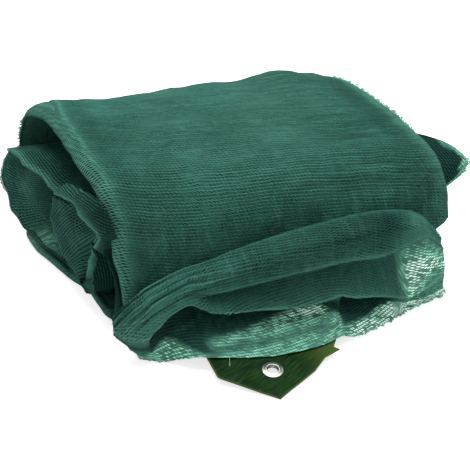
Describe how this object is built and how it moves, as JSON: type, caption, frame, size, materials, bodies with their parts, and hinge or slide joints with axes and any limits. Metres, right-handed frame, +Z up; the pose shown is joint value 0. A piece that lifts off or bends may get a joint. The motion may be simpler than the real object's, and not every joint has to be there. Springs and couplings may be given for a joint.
{
  "type": "rolled olive harvesting net",
  "caption": "Knitted shade-weight net, folded lengthwise and rolled up loosely, with its loose end heaped in front and a reinforced corner with an eyelet sticking out.",
  "frame": {"origin": "on the flat underside of the roll, the surface it rests on", "axes": "+X along the roll from its open three-turn end towards the other, -Y towards the heaped loose end, +Z up"},
  "size_m": [0.4334, 0.412, 0.171],
  "materials": {
    "green_net": "knitted plastic monofilament, open mesh, slightly shiny ribs",
    "olive_tarp": "woven coated tape, satin",
    "steel": "pressed, nickel plated, slightly dull"
  },
  "bodies": {
    "root": {"net_roll": "green_net", "loose_end": "green_net", "corner_patch": "olive_tarp", "eyelet": "steel"}
  },
  "joints": []
}
